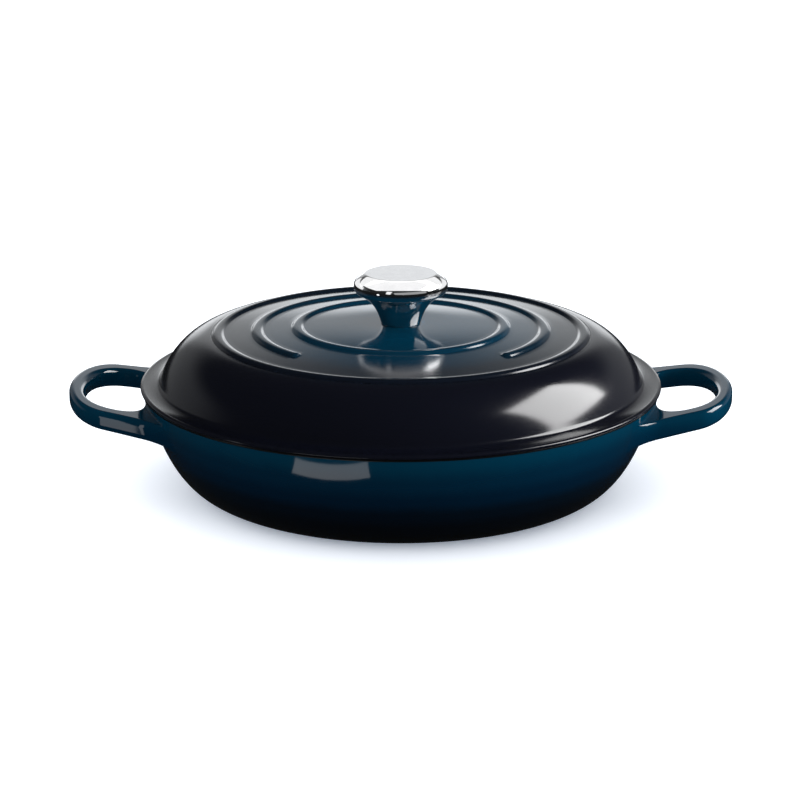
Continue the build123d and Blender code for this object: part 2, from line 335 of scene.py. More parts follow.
def steel(name, colour, darker, roughness, polish):
    # stainless steel: the eye gets a bright mirror, drawn out a little by fine polishing
    # lines that run round the knob; they are 0.05 mm apart on a real one and are drawn at
    # the given spacing so that they show
    material, tree = newMaterial(name)
    place = addNode(tree, "TexCoord").outputs["Object"]
    radius, height = fromAxis(tree, place)
    lines = addNode(tree, "CombineXYZ", links={"X": radius, "Y": height})
    groove = noise(tree, lines.outputs[0], polish, 3.0)
    smear = noise(tree, place, steelLook["smear"], 2.0)
    base = colourRamp(tree, smear, zip(steelLook["stops"], (darker, colour)))
    rough = between(tree, groove, *roughness)
    bump = addNode(tree, "Bump", {"Strength": steelLook["grooveStrength"],
                                  "Distance": steelLook["grooveHeight"] * mm},
                   {"Height": groove})
    shader = addNode(tree, "BsdfPrincipled", {"Metallic": 1.0},
                     {"Base Color": base, "Roughness": rough,
                      "Normal": bump.outputs["Normal"]})
    return endMaterial(material, shader)


glossEnamel = vitreousEnamel("glossEnamelOnIron", byHeight, enamelLook["panStops"],
                             enamelLook["roughness"], 0)
lidEnamel = vitreousEnamel("shadedEnamelOnIron", byRadius, enamelLook["lidStops"],
                           enamelLook["lidRoughness"], enamelLook["lidRougher"])
rimEnamel = plainEnamel("satinBlackRimEnamel", "#0C0D10", "#07080A", (0.32, 0.42))
insideEnamel = plainEnamel("sandInteriorEnamel", "#D9CDB4", "#CFC2A6", (0.16, 0.24))
polishedSteel = steel("polishedStainlessSteel", "#E4E4E5", "#DEDEDF", (0.05, 0.10), 0.25)
machinedSteel = steel("machinedSteel", "#C9CBCF", "#B4B6BA", (0.22, 0.34), 0.4)
print("made the materials")

pan = {
    "height": 65.0, "rimRadius": 159.6, "baseRadius": 109.5, "wall": 3.9, "floor": 4.3,
    # the wall's slope at the rim in degrees, how far the curve of the side runs along its
    # tangents, and how much of the inset the inside's curve loses of that
    "wallAngle": 72.8, "baseSweep": 29.3, "rimSweep": 34.9, "innerLoss": 0.6,
    "rimRounding": 1.2,
    "rimBand": 2.0,             # the satin black edge reaches this far down
    "middle": 2.0,              # the radius inside which a fan of faces closes base and floor
    "segments": 288, "outerRows": 60, "innerRows": 50, "levelRows": 14, "tableRows": 400,
}


def bowlCurve(inset, floor, count):
    # the bowl's side: level at the base, at the wall's angle at the rim, inset from outside
    rim = pan["rimRadius"] - inset / np.sin(np.radians(pan["wallAngle"]))
    loss = inset * pan["innerLoss"]
    return sweptCurve((pan["baseRadius"], floor), 0, pan["baseSweep"] - loss,
                      (rim, pan["height"]), pan["wallAngle"], pan["rimSweep"] - loss, count)


wallTable = bowlCurve(0, 0, pan["tableRows"])


def wallRadius(height):
    # outer radius of the bowl at a height, read along its curve
    return np.interp(height, wallTable[:, 1], wallTable[:, 0])


def makeBowl():
    # profile from the middle of the base, up the outside, over the rounded rim, down the
    # inside and back to the middle of the floor
    outer = bowlCurve(0, 0, pan["outerRows"])
    inner = bowlCurve(pan["wall"], pan["floor"], pan["innerRows"])
    tip, innerTip = outer[-1], inner[-1]
    # both sides stop below the rim, where the rounding and its extra points have room
    edgeStart = pan["height"] - 1.5 * pan["rimRounding"]
    outer, inner = outer[outer[:, 1] < edgeStart], inner[inner[:, 1] < edgeStart]
    rim = roundedLine([(*outer[-1], 0), (*tip, pan["rimRounding"]),
                       (*innerTip, pan["rimRounding"]), (*inner[-1], 0)])
    base = levelLine(pan["middle"], pan["baseRadius"], 0, pan["levelRows"])
    floor = levelLine(pan["baseRadius"], pan["middle"], pan["floor"], pan["levelRows"])
    profile = chain(base, outer, rim, inner[::-1], floor)
    piece = ringMesh("panBowl", turned(profile, fullTurn(pan["segments"])), False)
    # the outside is gloss enamel, the edge satin black and the inside pale
    columns = pan["segments"]
    nearTop = 0.2   # the outside ends at the first point this close under the rim
    top = np.argmax(profile[:, 1] > pan["height"] - nearTop)
    row = np.arange(len(profile) - 1)
    middle = (profile[:-1] + profile[1:]) / 2
    slot = np.where(row < top, 0, 2)
    slot[middle[:, 1] > pan["height"] - pan["rimBand"]] = 1
    slots = np.concatenate([np.repeat(slot, columns), np.repeat([0, 2], columns)])
    finishPiece(piece, "pan", ["pan"], "pan_enamel", glossEnamel, rimEnamel, insideEnamel)
    piece.data.polygons.foreach_set("material_index", slots.astype(np.int32))


handle = {
    "length": 44.7,             # from the rim to the outside of the grip
    "spread": 118.6,            # between the two bars' outer sides at the rim
    "barWidth": 14.4, "gripWidth": 9.7, "barHeight": 11.4,
    "taper": 11.6,              # each bar leans inwards by this, degrees
    # each bend's length, and how far its curve runs along the bar and along the grip
    "outerBend": (25.0, 15.4, 27.2), "gapBend": (21.3, 14.9, 21.8),
    # spread of the webs at the wall, inside the loop and outside it, and how full they are
    "web": 24.6, "outerWeb": 11.0, "fullness": 0.46,
    "rise": 1.0,                # of the grip's top over the rim
    "topSlope": 9.3, "underSlope": 10.4,   # how steeply they fall towards the bowl, degrees
    "edge": 3.7,                # rounding of the section's corners
    # the hollows where the top and the underside meet the wall: length along, and height
    "root": (9.0, 1.8), "underRoot": (5.0, 2.4),
    # rows under the wall's surface: how deep, and how much wider than the web
    "sunk": [(-1.6, 1.6), (-0.35, 1.5), (-0.14, 0.9), (-0.03, 0.35)],
    "barRows": 34, "bendRows": 44, "cornerPoints": 9, "webPoints": 60,
    "crowding": 2.2,            # power that crowds the bar's rows at the wall
    "facePoints": (0.06, 0.2, 0.5, 0.8, 0.94),   # where each face of the section has points
    "passes": 4,                # of finding the wall at the handle's own height
    "firstHeight": 55.0,        # the first guess of that height
    "farAway": 100.0,           # a distance from the wall that the hollows don't reach
}


def webTable(web, reach):
    # spread of a web against the distance from the wall: a cubic curve that leaves the wall
    # along it and meets the bar along the bar. Distance: reach (3(1-t) t^2 free + t^3),
    # spread: web ((1-t)^3 + 3(1-t)^2 t free).
    t, free = np.linspace(0, 1, handle["webPoints"]), 1 - handle["fullness"]
    return (reach * (3 * (1 - t) * t ** 2 * free + t ** 3),
            web * ((1 - t) ** 3 + 3 * (1 - t) ** 2 * t * free))


def handleSection():
    # round the section: each corner is a quarter circle, each face a straight run. The rows
    # are the place across (0 inside, 1 outside) and up (0 below, 1 above) of the corner's
    # middle, and the corner's own step across and up.
    count = handle["cornerPoints"]
    parts = []
    for across, up, start in ((1, 1, 0), (0, 1, 90), (0, 0, 180), (1, 0, 270)):
        turn = np.radians(np.linspace(start, start + 90, count))
        parts.append(np.stack([np.full(count, across), np.full(count, up),
                               np.cos(turn), np.sin(turn)], axis=-1))
        ahead = parts[-1][-1].copy()
        other = ahead.copy()
        if across == up:
            other[0] = 1 - across
        else:
            other[1] = 1 - up
        share = np.array(handle["facePoints"])[:, None]
        parts.append(ahead + (other - ahead) * share)
    return np.vstack(parts)


def sideAt(radius, apart):
    # the point of a bar's side at a radius: the side is a straight line, apart from the middle
    taper = np.radians(handle["taper"])
    run = np.sqrt(radius ** 2 - apart ** 2)
    return (np.cos(taper) * run + np.sin(taper) * apart,
            -np.sin(taper) * run + np.cos(taper) * apart)


def sideLine(half, tip, bend):
    # a side's distance from the middle of the pan, the radius at which its bend starts, and
    # the bend itself: a cubic curve from the bar to the middle of the grip
    taper = np.radians(handle["taper"])
    apart = pan["rimRadius"] * np.sin(taper) + half * np.cos(taper)
    last = (tip - np.sin(taper) * apart) / np.cos(taper)
    start = np.array(sideAt(np.hypot(last - bend[0], apart), apart))
    curve = sweptCurve(start, -handle["taper"], bend[1], (tip, 0), -90, bend[2],
                       handle["bendRows"] + 1)
    return apart, np.linalg.norm(start), curve[1:]


def makeHandle(name, side):
    # half of the loop, from the wall to the middle of the grip, then its mirror image. Along
    # the bar a point lies at a radius between the wall's and the bend's, and at the polar
    # angle of the bar's side plus the web's spread; round the bend it lies between the inner
    # and the outer curve.
    h = handle
    reach = pan["rimRadius"] + h["length"]
    taper = np.radians(h["taper"])
    section = handleSection()
    outerHalf = h["spread"] / 2
    innerHalf = outerHalf - h["barWidth"] / np.cos(taper)
    sides = [(sideLine(innerHalf, reach - h["gripWidth"], h["gapBend"]), -1, h["web"], None),
             (sideLine(outerHalf, reach, h["outerBend"]), 1, h["outerWeb"], h["outerWeb"])]

    # rows: under the wall's surface, along the bar, round the bend
    sunk = np.array(h["sunk"])
    share = np.linspace(0, 1, h["barRows"]) ** h["crowding"]
    away = np.concatenate([sunk[:, 0], np.zeros(len(share))])[:, None]
    extra = np.concatenate([sunk[:, 1], np.zeros(len(share))])[:, None]
    share = np.concatenate([np.zeros(len(sunk)), share])[:, None]
    bars = len(share)

    def heights(x, distance):
        # top and underside: planes that fall towards the bowl, and a hollow where they meet
        # the wall, a quarter of an ellipse: rise (1 - sqrt(1 - (1 - distance/along)^2))
        above, below = (rise * (1 - np.sqrt(1 - np.clip(1 - distance / along, 0, 1) ** 2))
                        for along, rise in (h["root"], h["underRoot"]))
        inward = reach - x
        top = pan["height"] + h["rise"] - inward * np.tan(np.radians(h["topSlope"]))
        under = (pan["height"] + h["rise"] - h["barHeight"]
                 - inward * np.tan(np.radians(h["underSlope"])))
        return top + above, under - below

    # the wall's radius depends on a point's height and the height on its distance from the
    # wall, so both are found by a few passes from a first guess
    height = np.full((bars + h["bendRows"], len(section)), h["firstHeight"])
    for _ in range(h["passes"]):
        barHeight = height[:bars]
        wall = wallRadius(barHeight)
        edges = []
        for (apart, startRadius, curve), sign, web, webReach in sides:
            radius = wall + away + share * (startRadius - wall)
            distance = np.clip(radius - wall, 0, None)
            webEnd = startRadius - pan["rimRadius"] if webReach is None else webReach
            spread = np.interp(distance, *webTable(web, webEnd)) + extra
            x, y = sideAt(radius, apart)
            angle = np.arctan2(y, x) + sign * spread / radius
            bendX, bendY = (curve[:, i, None] + 0 * section[:, 0] for i in (0, 1))
            edges.append((radius, angle, np.vstack([radius * np.cos(angle), bendX]),
                          np.vstack([radius * np.sin(angle), bendY])))
        innerRadius, innerAngle, innerX, innerY = edges[0]
        outerRadius, outerAngle, outerX, outerY = edges[1]
        width = np.hypot(outerX - innerX, outerY - innerY)
        across = (section[:, 0] * (width - 2 * h["edge"])
                  + h["edge"] * (1 + section[:, 2])) / width
        x = innerX + (outerX - innerX) * across
        y = innerY + (outerY - innerY) * across
        radius = innerRadius + (outerRadius - innerRadius) * across[:bars]
        angle = innerAngle + (outerAngle - innerAngle) * across[:bars]
        # the section follows an arc round the bowl at the wall and is straight at the bend;
        # between them it changes by the smooth step 3 share^2 - 2 share^3
        straight = share ** 2 * (3 - 2 * share)
        x[:bars] = x[:bars] * straight + radius * np.cos(angle) * (1 - straight)
        y[:bars] = y[:bars] * straight + radius * np.sin(angle) * (1 - straight)
        distance = np.full(height.shape, h["farAway"])
        distance[:bars] = np.clip(radius - wall, 0, None)
        top, under = heights(x, distance)
        top[:bars] += extra
        under[:bars] -= extra
        height = (under + section[:, 1] * (top - under - 2 * h["edge"])
                  + h["edge"] * (1 + section[:, 3]))
    half = np.stack([x, y, height], axis=-1)
    rings = np.vstack([half, half[-2::-1] * (1, -1, 1)]) * (side, 1, 1)
    piece = ringMesh(name, rings, False)
    finishPiece(piece, "pan", ["pan"], "pan_enamel", glossEnamel)


makeBowl()
makeHandle("rightHandle", 1)
makeHandle("leftHandle", -1)

lid = {
    "radius": 160.3, "wall": 3.6, "middleWall": 4.0, "screwHole": 7.0, "seatRadius": 16.0,
    # heights are over the pan's rim, slopes in degrees, sweeps how far a curve runs along
    # its tangents; the inside's curves lose a share of the wall's thickness of that
    "height": 37.9, "crownRadius": 116.0, "crownHeight": 31.9, "topSlope": 4.2,
    "shoulderRadius": 148.0, "shoulderHeight": 5.4, "shoulderSlope": 66.0,
    "middleSweep": 15.0, "crownSweep": 9.0, "shoulderSweep": 23.0, "innerLoss": 0.25,
    "hollow": 2.4, "flangeHeight": 3.2, "flangeEdge": 2.2,
    # the rounded bead at the edge: its width, first slope, greatest radius's height, and
    # the sweeps of its upper and lower halves; the seat starts a little inside it
    "beadWidth": 2.6, "beadAngle": 28, "beadMiddle": 1.1, "upperBead": (0.7, 0.9),
    "lowerBead": (0.5, 0.3), "seatEdge": 0.8,
    "holeEdge": (0.3, 0.6),     # two steps round the edges of the screw's hole
    "seatStep": 1.0,            # the knob's flat seat has a ring this far inside its edge
    "locateDepth": 6.0, "locateWidth": 3.0, "locatePlay": 1.2, "locateRounding": (0.8, 0.9),
    "segments": 360,
    # how many points each stretch of the profile has
    "rows": {"dome": 16, "flat": 6, "side": 32, "bend": 7, "upper": 12, "lower": 6,
             "corner": 5, "inside": 22, "ceiling": 14},
    "blackRows": (3, 24),       # rows of satin black before and after the edge turns under
}
ring = {
    "width": 9.2, "height": 1.7, "foot": 0.4, "crest": 0.78, "radii": (63.3, 88.0, 112.2),
    "openRing": 1, "gap": 92.0,  # which ring is open, and by how many degrees
    "rows": 17, "tableRows": 50,
    # finer steps round an open ring's end: how far to each side, how many, and the least
    # step that is kept, in degrees
    "endSpan": 3.2, "endSteps": 28, "leastStep": 0.05,
}


def ringHeight(distance):
    # rise of a raised ring at a distance from its middle line: half of a soft bell, a cubic
    # curve that starts level at the foot and ends level at the crest
    t = np.linspace(0, 1, ring["tableRows"])
    half = ring["width"] / 2
    out = half * ((1 - t) ** 3 + 3 * (1 - t) ** 2 * t * (1 - ring["foot"])
                  + 3 * (1 - t) * t ** 2 * ring["crest"])
    up = ring["height"] * (3 * (1 - t) * t ** 2 + t ** 3)
    return np.interp(distance, out[::-1], up[::-1])


def makeLid():
    # profile of the lid without its rings, from the screw's hole over the top to the edge,
    # and back under it; then the rings rise along the surface by their distance from it
    seat = pan["height"]
    middleTop = seat + lid["height"]
    crown = (lid["crownRadius"], seat + lid["crownHeight"])
    shoulder = (lid["shoulderRadius"], seat + lid["shoulderHeight"])
    slope = np.tan(np.radians(lid["topSlope"]))
    firstFoot = ring["radii"][0] - ring["width"] / 2
    startTop = (firstFoot, crown[1] + (crown[0] - firstFoot) * slope)
    hollowEnd = (shoulder[0] + lid["hollow"], seat + lid["flangeHeight"])
    beadStart = (lid["radius"] - lid["beadWidth"], seat + lid["flangeEdge"])
    flangeSlope = np.degrees(np.arctan2(hollowEnd[1] - beadStart[1], beadStart[0] - hollowEnd[0]))
    hole = lid["screwHole"] / 2
    rows = lid["rows"]
    dome = sweptCurve((lid["seatRadius"], middleTop), 0, lid["middleSweep"],
                      startTop, -lid["topSlope"], lid["middleSweep"], rows["dome"])
    spans = [np.linspace(r - ring["width"] / 2, r + ring["width"] / 2, ring["rows"])
             for r in ring["radii"]]
    runs = np.concatenate([
        spans[0], np.linspace(spans[0][-1], spans[1][0], rows["flat"]),
        spans[1], np.linspace(spans[1][-1], spans[2][0], rows["flat"]), spans[2]])
    plain = np.stack([runs, crown[1] + (crown[0] - runs) * slope], axis=-1)
    side = sweptCurve(crown, -lid["topSlope"], lid["crownSweep"],
                      shoulder, -lid["shoulderSlope"], lid["shoulderSweep"], rows["side"])
    bend = sweptCurve(shoulder, -lid["shoulderSlope"], lid["hollow"] / 2,
                      hollowEnd, -flangeSlope, lid["hollow"] / 2, rows["bend"])
    widest = (lid["radius"], seat + lid["beadMiddle"])
    seatEdge = (lid["radius"] - lid["seatEdge"], seat)
    bead = sweptCurve(beadStart, lid["beadAngle"], lid["upperBead"][0],
                      widest, -90, lid["upperBead"][1], rows["upper"])
    under = sweptCurve(widest, -90, lid["lowerBead"][0],
                       seatEdge, 180, lid["lowerBead"][1], rows["lower"])
    near, far = lid["holeEdge"]
    top = chain(np.array([(hole, middleTop - far), (hole, middleTop - near),
                          (hole + near, middleTop), (hole + far, middleTop),
                          (lid["seatRadius"] - lid["seatStep"], middleTop)]),
                dome, plain, side, bend, bead, under)

    lean = 1 / np.tan(np.radians(pan["wallAngle"]))
    rimInner = pan["rimRadius"] - pan["wall"] / np.sin(np.radians(pan["wallAngle"]))
    locateTop = rimInner - lid["locatePlay"]
    locateBottom = locateTop - lid["locateDepth"] * lean
    innerSide = lid["shoulderRadius"] - lid["wall"] / np.sin(np.radians(lid["shoulderSlope"]))
    innerCrown = (lid["crownRadius"], crown[1] - lid["wall"])
    underMiddle = middleTop - lid["middleWall"]
    loss = lid["wall"] * lid["innerLoss"]
    lowest = seat - lid["locateDepth"]
    hollowRounding, footRounding = lid["locateRounding"]
    locate = roundedLine([
        (*seatEdge, 0), (locateTop, seat, hollowRounding),
        (locateBottom, lowest, footRounding),
        (locateBottom - lid["locateWidth"], lowest, footRounding),
        (innerSide, shoulder[1], 0)], rows["corner"])
    inside = sweptCurve((innerSide, shoulder[1]), 180 - lid["shoulderSlope"],
                        lid["shoulderSweep"] - loss, innerCrown, 180 - lid["topSlope"],
                        lid["crownSweep"] - loss, rows["inside"])
    ceiling = sweptCurve(innerCrown, 180 - lid["topSlope"], lid["middleSweep"],
                         (lid["seatRadius"], underMiddle), 180, lid["middleSweep"],
                         rows["ceiling"])
    end = np.array([(hole + far, underMiddle), (hole + near, underMiddle),
                    (hole, underMiddle + near), (hole, underMiddle + far)])
    profile = chain(top, locate, inside, ceiling, end)

    # finer steps round the two ends of the open ring
    edge = (-90 + np.array([-1, 1]) * ring["gap"] / 2) % 360
    fine = np.linspace(-ring["endSpan"], ring["endSpan"], ring["endSteps"])
    even = np.arange(lid["segments"]) * 360 / lid["segments"]
    turnSteps = np.concatenate([even, edge[0] + fine, edge[1] + fine])
    degreesRound = np.unique(np.round(turnSteps, 3))
    degreesRound = degreesRound[np.append(True, np.diff(degreesRound) > ring["leastStep"])]
    angles = np.radians(degreesRound)
    rings = turned(profile, angles)
    isTop = (np.arange(len(profile)) < len(top))[:, None]
    radius = profile[:, 0, None] + 0 * angles
    lift = np.zeros(radius.shape)
    for i, ringRadius in enumerate(ring["radii"]):
        distance = np.abs(radius - ringRadius)
        if i == ring["openRing"]:
            # past its ends the distance is to the end's middle, which rounds the end off
            inGap = np.abs((degreesRound + 90 + 180) % 360 - 180) < ring["gap"] / 2
            toEnd = np.min([np.hypot(rings[..., 0] - ringRadius * np.cos(turn),
                                     rings[..., 1] - ringRadius * np.sin(turn))
                            for turn in np.radians(edge)], axis=0)
            distance = np.where(inGap[None, :], toEnd, distance)
        lift = np.maximum(lift, ringHeight(distance))
    lift = np.where(isTop, lift, 0)
    tilt = np.radians(lid["topSlope"])
    rings[..., 0] += lift * np.sin(tilt) * np.cos(angles)
    rings[..., 1] += lift * np.sin(tilt) * np.sin(angles)
    rings[..., 2] += lift * np.cos(tilt)
    piece = ringMesh("lidShell", rings, True)
    row = np.arange(len(profile))
    slot = np.where(row < len(top) - lid["blackRows"][0], 0, 1)
    slot[row > len(top) + lid["blackRows"][1]] = 2
    finishPiece(piece, "lid", ["lid"], "lid_enamel", lidEnamel, rimEnamel, insideEnamel)
    piece.data.polygons.foreach_set("material_index",
                                    np.repeat(slot, len(angles)).astype(np.int32))


makeLid()

knob = {
    "height": 31.6, "capHeight": 12.2, "sheet": 1.4, "bushHole": 5.6,
    "footRadius": 12.0, "neckRadius": 26.8, "widestRadius": 28.8, "widestBelowTop": 7.3,
    "faceRadius": 22.0, "faceRounding": 0.8,
    # slopes in degrees, and how far each curve runs along its tangents
    "footAngle": 74.0, "footSweep": 11.0, "neckAngle": 30.0, "neckSweep": 10.0,
    "rollAngle": 25.0, "rollSweep": 2.0, "sideSweep": 3.3, "bevelAngle": 28.0,
    "bevelSweep": 3.5,
    "footEdge": 0.8,            # the stem's flat foot ends this far inside its edge
    "seamEdge": 0.3,            # and the cap's lower edge this far inside the neck's
    "faceEdge": 4.0,            # the flat face's last ring lies this far inside its edge
    "underEdge": 1.0,           # and underneath it this far
    "middle": 1.0,              # radius inside which a fan of faces closes the cap
    "segments": 144,
    "rows": {"outside": 44, "inside": 24, "skin": 18, "innerSkin": 8, "corner": 6,
             "face": 8, "under": 6},
}


def makeKnob():
    # stem: a trumpet from the lid to the seam; cap: rolled edge, bevel and flat face
    foot = pan["height"] + lid["height"]
    neck = foot + knob["height"] - knob["capHeight"]
    top = foot + knob["height"]
    sheet = knob["sheet"]
    footInside = knob["footRadius"] - sheet / np.sin(np.radians(knob["footAngle"]))
    neckInside = knob["neckRadius"] - sheet / np.sin(np.radians(knob["neckAngle"]))
    rows = knob["rows"]
    outside = sweptCurve((knob["footRadius"], foot), knob["footAngle"], knob["footSweep"],
                         (knob["neckRadius"], neck), knob["neckAngle"], knob["neckSweep"],
                         rows["outside"])
    inside = sweptCurve((footInside, foot + sheet), knob["footAngle"], knob["footSweep"] - sheet,
                        (neckInside, neck), knob["neckAngle"], knob["neckSweep"] - sheet,
                        rows["inside"])
    hole = knob["bushHole"]
    stem = chain(np.array([(hole, foot), (knob["footRadius"] - knob["footEdge"], foot)]),
                 outside, inside[::-1], np.array([(hole, foot + sheet)]))
    angles = fullTurn(knob["segments"])
    finishPiece(ringMesh("knobStem", turned(stem, angles), True), "lid", ["knob_stem"],
                "knob_steel", polishedSteel)

    def skin(inset, count):
        # the cap's side from the seam to the flat face, moved inwards by the inset
        seam = (knob["neckRadius"] - inset, neck + inset)
        side = (knob["widestRadius"] - inset, top - knob["widestBelowTop"])
        face = (knob["faceRadius"] - inset / 2, top - inset)
        return chain(sweptCurve(seam, knob["rollAngle"], knob["rollSweep"], side, 90,
                                knob["rollSweep"], count),
                     sweptCurve(side, 90, knob["sideSweep"], face, 180 - knob["bevelAngle"],
                                knob["bevelSweep"], count))

    outer = skin(0, rows["skin"])
    bevel = outer[outer[:, 0] > knob["faceRadius"] + knob["faceRounding"]]
    faceStart = knob["faceRadius"] - knob["faceEdge"]
    edge = roundedLine([(*bevel[-1], 0), (knob["faceRadius"], top, knob["faceRounding"]),
                        (faceStart, top, 0)], rows["corner"])
    face = levelLine(faceStart, knob["middle"], top, rows["face"])
    under = levelLine(knob["middle"], knob["faceRadius"] - knob["underEdge"], top - sheet,
                      rows["under"])
    inner = skin(sheet, rows["innerSkin"])[::-1]
    # the cap is one closed skin: out from the middle underneath, down inside, over the seam,
    # up outside and back to the middle on top
    profile = chain(under, inner, np.array([(neckInside, neck + sheet), (neckInside, neck)]),
                    np.array([(knob["neckRadius"] - knob["seamEdge"], neck)]), bevel, edge,
                    face)
    finishPiece(ringMesh("knobCap", turned(profile, angles), False), "lid", ["knob_cap"],
                "knob_steel", polishedSteel)


makeKnob()

for node in ("knob_bush", "knob_screw", "knob_washer", "knob_lock_washer"):
    frame["nodes"][node].data.materials.clear()
    frame["nodes"][node].data.materials.append(machinedSteel)
print("gave the fixings their steel")

studio = {
    "pitch": 15.8875,           # degrees that the camera looks down
    "distance": 1700,           # from the camera to its aim, mm
    "aim": 67.0,                # height of the aim, mm
    "focus": 2751.746,          # focal length in pixels of the photograph
    "imageSide": 800, "aimRow": 378.94, "aimColumn": 400.8,   # pixels
    "sensor": 36,               # width of the camera's sensor, mm
}


def makeCamera():
    # the camera looks down by the pitch, a little below the aim, which stands above the
    # middle of the picture by as many pixels as in the photograph
    pitch = np.radians(studio["pitch"])
    data = bpy.data.cameras.new("camera")
    data.sensor_width = studio["sensor"]
    data.lens = studio["sensor"] * studio["focus"] / studio["imageSide"]
    camera = bpy.data.objects.new("camera", data)
    back = Vector((0, -np.cos(pitch), np.sin(pitch)))
    middle = studio["imageSide"] / 2
    sideways = -(studio["aimColumn"] - middle) * studio["distance"] / studio["focus"]
    camera.location = (Vector((sideways, 0, studio["aim"])) + back * studio["distance"]) * mm
    tilt = pitch + np.arctan((middle - studio["aimRow"]) / studio["focus"])
    camera.rotation_euler = (np.pi / 2 - tilt, 0, 0)
    bpy.context.scene.collection.objects.link(camera)
    bpy.context.scene.camera = camera


makeCamera()

softboxes = {
    # middle, what it faces, width and height in metres, radiance (1 is white), spin in
    # degrees, how the names of the pieces that it lights start (None: it lights all there
    # is, an empty text: the whole braiser), and whether reflections (R) or the colours (C)
    # see it
    "rightBox": ((1.36, 0.12, 1.05), (0, 0, 0.08), 1.25, 1.0, 11.5, 0, None, "R"),
    "rightKey": ((1.6, -0.3, 0.5), (0, 0, 0.06), 1.2, 1.2, 8.0, 0, "", "C"),
    "frontCard": ((-0.068, -0.184, 0.001), (-0.068, -0.184, 1), 0.078, 0.015, 1.6, 21.5,
                  None, "R"),
    "handleCard": ((-0.236, -0.165, 0.042), (-0.178, -0.058, 0.045), 0.034, 0.08, 1.6, 0,
                   None, "R"),
    "knobBox": ((0.0, 0.0, 1.13), (0, 0, 0.12), 3.4, 1.5, 1.2, 0, "knob", "R"),
    "knobBack": ((0.0, 1.2, 1.75), (0, 0, 1.75), 5.0, 1.9, 1.15, 0, "knob", "R"),
    "knobLeft": ((-1.45, 1.2, 0.4), (-0.2, 0, 0.4), 1.8, 0.9, 0.9, 0, "knob", "R"),
    "knobRight": ((1.45, 1.2, 0.4), (0.2, 0, 0.4), 1.8, 0.9, 0.9, 0, "knob", "R"),
    "knobMiddle": ((0.0, 1.2, 0.45), (0, 0, 0.45), 1.0, 0.6, 0.2, 0, "knob", "R"),
    "knobStrip": ((-0.55, -0.95, 0.5), (0, 0, 0.12), 0.24, 0.8, 1.2, 0, "knob", "R"),
    "knobFront": ((0.46, -1.0, 0.45), (0, 0, 0.12), 1.9, 0.7, 0.4, 0, "knob", "R"),
}


def lightOnly(lamp, which):
    # the lamp lights the pieces whose names start so, and nothing else: never the floor,
    # which is made later
    group = bpy.data.collections.new(lamp.name + "Lights")
    for piece in bpy.context.scene.objects:
        if piece.type == "MESH" and piece.name.startswith(which):
            group.objects.link(piece)
    lamp.light_linking.receiver_collection = group


def makeSoftbox(name, place, aim, width, height, radiance, spin, which, seenBy):
    data = bpy.data.lights.new(name, "AREA")
    data.shape = "RECTANGLE"
    data.size, data.size_y = width, height
    data.energy = radiance * np.pi * width * height
    lamp = bpy.data.objects.new(name, data)
    lamp.location = place
    toward = (Vector(aim) - Vector(place)).to_track_quat("-Z", "Y").to_euler()
    toward.rotate_axis("Z", np.radians(spin))
    lamp.rotation_euler = toward
    lamp.visible_camera = False
    lamp.visible_diffuse = seenBy == "C"
    lamp.visible_glossy = seenBy == "R"
    bpy.context.scene.collection.objects.link(lamp)
    if which is not None:
        lightOnly(lamp, which)


for name, values in softboxes.items():
    makeSoftbox(name, *values)

backdrop = {
    "fill": 0.62,            # of white, the world's even light on the braiser and the floor
    "dark": 0.02,            # radiance of the dark tent that reflections see
    "tentRadius": 4.0,
    # white areas of the tent: radiance, elevations where they fade in and out, and the
    # share of the way to the back where they start and are whole
    "zones": [(0.2, (-2, 0), (17, 30), (-0.15, 0.45)), (0.55, (9, 16), (20, 32), (0.88, 0.97)),
              (1.7, (-2, 0), (9, 14), (0.92, 0.98))],
    "table": 0.012,          # radiance of the dark table cloth that reflections see
    "tentColour": (0.95, 0.975, 1, 1), "tableColour": (0.9, 0.95, 1, 1),
    "tentColumns": 48, "tentRows": 16,
    "tentHole": 0.02,        # the hole at the very top, radians, closed by one face
    "tableSide": 3.9, "tableHeight": 0.0004,
    "floorSide": 6, "paper": (0.9, 0.92, 0.95, 1),
    "floorGlow": (0.22, 0.25, 0.30, 1),
    "floorLight": 1.05,      # more even light, for the floor alone: its shadow stays close
}


def square(side, height):
    # corners of a level square: half its width and its height
    return [(-side, -side, height), (side, -side, height), (side, side, height),
            (-side, side, height)]


def stagePiece(name, points, faces, material):
    mesh = bpy.data.meshes.new(name)
    mesh.from_pydata(points, [], faces)
    mesh.materials.append(material)
    piece = bpy.data.objects.new(name, mesh)
    bpy.context.scene.collection.objects.link(piece)
    return piece


def reflectedOnly(piece):
    # seen in reflections and by nothing else
    piece.visible_camera = False
    piece.visible_diffuse = False
    piece.visible_transmission = False
    piece.visible_shadow = False


def seenDirectly(tree):
    # 1 for the camera, in reflections and through glass, 0 for the light on a colour
    rays = addNode(tree, "LightPath")
    seen = rays.outputs["Is Camera Ray"]
    for flag in ("Is Glossy Ray", "Is Transmission Ray"):
        seen = combine(tree, "MAXIMUM", seen, rays.outputs[flag])
    return seen


def makeBackground():
    # the world is white where it is seen, and lights the braiser and the floor evenly
    world = bpy.data.worlds.new("studioWorld")
    bpy.context.scene.world = world
    world.use_nodes = True
    tree = world.node_tree
    tree.nodes.clear()
    level = between(tree, seenDirectly(tree), backdrop["fill"], 1.0)
    shader = addNode(tree, "Background", {"Color": (1, 1, 1, 1)}, {"Strength": level})
    output = addNode(tree, "OutputWorld")
    tree.links.new(shader.outputs[0], output.inputs["Surface"])


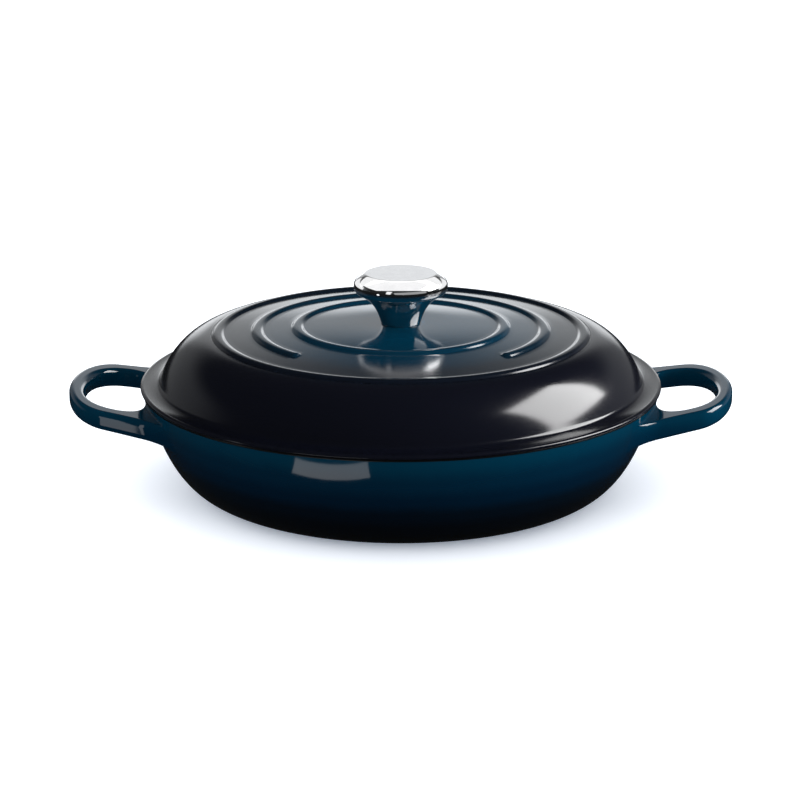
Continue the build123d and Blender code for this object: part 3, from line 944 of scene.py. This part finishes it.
def makeFloor():
    # white floor that keeps the shadow: matt white and, where it is seen, a faint bluish
    # glow that lifts the shadow
    material, tree = newMaterial("whitePaperFloor")
    matt = addNode(tree, "BsdfDiffuse", {"Color": backdrop["paper"]})
    glow = addNode(tree, "Emission", {"Color": backdrop["floorGlow"]},
                   {"Strength": seenDirectly(tree)})
    both = addNode(tree, "AddShader", links={0: matt.outputs[0], 1: glow.outputs[0]})
    floor = stagePiece("studioFloor", square(backdrop["floorSide"], 0), [(0, 1, 2, 3)],
                       endMaterial(material, both))
    floor.visible_diffuse = False
    # an even sky of light for the floor alone
    data = bpy.data.lights.new("floorLight", "SUN")
    data.angle = np.pi
    data.energy = backdrop["floorLight"] * np.pi
    lamp = bpy.data.objects.new("floorLight", data)
    lamp.visible_camera = lamp.visible_glossy = False
    bpy.context.scene.collection.objects.link(lamp)
    group = bpy.data.collections.new("floorOnly")
    group.objects.link(floor)
    lamp.light_linking.receiver_collection = group


def makeTent():
    # a photographer's dark tent, which only reflections see: a dome that glows white at the
    # low back and is nearly black above and in front, and a black sheet on the table. A
    # zone's glow is its radiance times a smooth step for each of its three limits.
    material, tree = newMaterial("blackTentCloth")
    place = addNode(tree, "TexCoord").outputs["Object"]
    unit = addNode(tree, "VectorMath", {"operation": "NORMALIZE"}, {0: place})
    split = addNode(tree, "SeparateXYZ", links={0: unit.outputs[0]})
    level = backdrop["dark"]
    for radiance, fadeIn, fadeOut, side in backdrop["zones"]:
        glow = radiance
        for axis, (start, end) in (("Z", np.sin(np.radians(fadeIn))),
                                   ("Z", np.sin(np.radians(fadeOut))[::-1]), ("Y", side)):
            step = addNode(tree, "MapRange", {"interpolation_type": "SMOOTHSTEP",
                                              "From Min": start, "From Max": end},
                           {"Value": split.outputs[axis]})
            glow = combine(tree, "MULTIPLY", step.outputs["Result"], glow)
        level = combine(tree, "ADD", glow, level)
    shader = addNode(tree, "Emission", {"Color": backdrop["tentColour"]}, {"Strength": level})
    cloth = endMaterial(material, shader)
    # rings of the dome: radius times cos(rise) cos(turn), cos(rise) sin(turn) and sin(rise)
    columns, rows = backdrop["tentColumns"], backdrop["tentRows"]
    turn = fullTurn(columns)
    rise = np.linspace(0, np.pi / 2 - backdrop["tentHole"], rows)[:, None]
    dome = backdrop["tentRadius"] * np.stack([np.cos(rise) * np.cos(turn),
                                              np.cos(rise) * np.sin(turn),
                                              np.sin(rise) + 0 * turn], axis=-1)
    index = np.arange(rows * columns).reshape(rows, columns)
    lower, upper = index[:-1], index[1:]
    quads = np.stack([lower, upper, np.roll(upper, -1, 1), np.roll(lower, -1, 1)],
                     axis=-1).reshape(-1, 4).tolist() + [index[-1].tolist()]
    tent = stagePiece("studioTent", dome.reshape(-1, 3).tolist(), quads, cloth)
    reflectedOnly(tent)
    material, tree = newMaterial("blackTableCloth")
    shader = addNode(tree, "Emission", {"Color": backdrop["tableColour"],
                                        "Strength": backdrop["table"]})
    table = stagePiece("tableCloth", square(backdrop["tableSide"], backdrop["tableHeight"]),
                       [(0, 1, 2, 3)], endMaterial(material, shader))
    reflectedOnly(table)


makeBackground()
makeFloor()
makeTent()
bpy.context.scene.view_settings.view_transform = "Standard"
print("made the studio")
